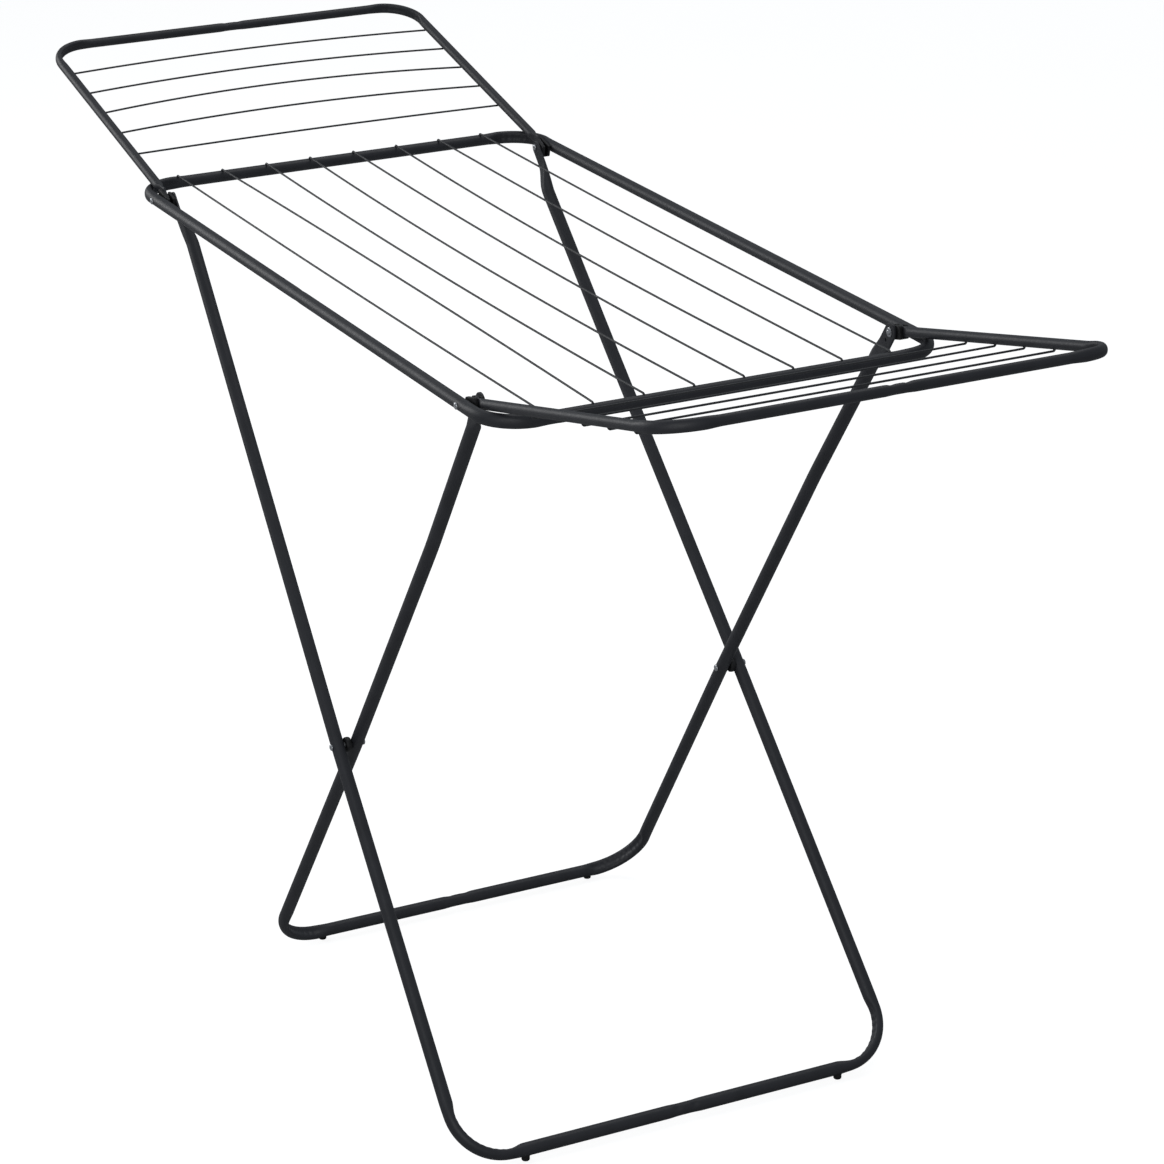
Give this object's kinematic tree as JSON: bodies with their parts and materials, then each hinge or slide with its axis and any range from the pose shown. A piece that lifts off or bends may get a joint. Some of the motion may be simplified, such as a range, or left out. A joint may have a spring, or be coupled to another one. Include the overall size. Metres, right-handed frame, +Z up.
{
  "type": "folding clothes drying rack",
  "caption": "Folding winged clothes airer: tube main frame with lengthwise wires, two hinged wire wings and crossed tubular leg frames.",
  "frame": {"origin": "on the floor under the middle of the opened rack", "axes": "+X along the rack towards the end where the inner leg is caught (front wing), +Y across it, +Z up"},
  "size_m": [1.6954, 0.5644, 1.0083],
  "materials": {
    "frame_tube": "satin charcoal powder coat",
    "wire": "charcoal powder coat",
    "moulded_plastic": "fine moulded matte black",
    "rivet_steel": "zinc plated steel",
    "foot_rubber": "matte black rubber"
  },
  "bodies": {
    "main_frame": {"main_frame_tube_back": "frame_tube", "main_frame_tube_front": "frame_tube", "main_wire_1": "wire", "main_wire_2": "wire", "main_wire_3": "wire", "main_wire_4": "wire", "main_wire_5": "wire", "main_wire_6": "wire", "main_wire_7": "wire", "main_wire_8": "wire", "corner_block_back_left": "moulded_plastic", "corner_rivet_back_left": "rivet_steel", "corner_block_front_left": "moulded_plastic", "corner_rivet_front_left": "rivet_steel", "corner_block_back_right": "moulded_plastic", "corner_rivet_back_right": "rivet_steel", "corner_block_front_right": "moulded_plastic", "corner_rivet_front_right": "rivet_steel"},
    "outer_leg": {"outer_leg_tube_left": "frame_tube", "outer_leg_foot_left": "foot_rubber", "cross_rivet_left": "rivet_steel", "cross_spacer_left": "moulded_plastic", "outer_leg_tube_right": "frame_tube", "outer_leg_foot_right": "foot_rubber", "cross_rivet_right": "rivet_steel", "cross_spacer_right": "moulded_plastic"},
    "inner_leg": {"inner_leg_tube_left": "frame_tube", "inner_leg_foot_left": "foot_rubber", "latch_rivet_left": "rivet_steel", "latch_washer_left": "rivet_steel", "inner_leg_tube_right": "frame_tube", "inner_leg_foot_right": "foot_rubber", "latch_rivet_right": "rivet_steel", "latch_washer_right": "rivet_steel"},
    "back_wing": {"back_wing_tube_left": "frame_tube", "back_wing_tube_right": "frame_tube", "back_wing_wire_1": "wire", "back_wing_wire_2": "wire", "back_wing_wire_3": "wire", "back_wing_wire_4": "wire", "back_wing_wire_5": "wire"},
    "front_wing": {"front_wing_tube_left": "frame_tube", "front_wing_tube_right": "frame_tube", "front_wing_wire_1": "wire", "front_wing_wire_2": "wire", "front_wing_wire_3": "wire", "front_wing_wire_4": "wire", "front_wing_wire_5": "wire"}
  },
  "joints": [
    {"name": "leg_fold", "type": "hinge", "parent": "main_frame", "child": "outer_leg", "pos_m": [-0.438, 0, 0.903], "axis": [0, -1, 0], "range_deg": [0, 44.6]},
    {"name": "inner_leg_fold", "type": "hinge", "parent": "outer_leg", "child": "inner_leg", "pos_m": [0.06121, 0, 0.37939], "axis": [0, -1, 0], "range_deg": [0, 76.6]},
    {"name": "back_wing_hinge", "type": "hinge", "parent": "main_frame", "child": "back_wing", "pos_m": [-0.438, 0, 0.903], "axis": [0, 1, 0], "range_deg": [0, 152]},
    {"name": "front_wing_hinge", "type": "hinge", "parent": "main_frame", "child": "front_wing", "pos_m": [0.424, 0, 0.903], "axis": [0, -1, 0], "range_deg": [0, 164]}
  ],
  "couplings": [
    {"joint": "inner_leg_fold", "follows": "leg_fold", "ratio": 1.7164}
  ]
}
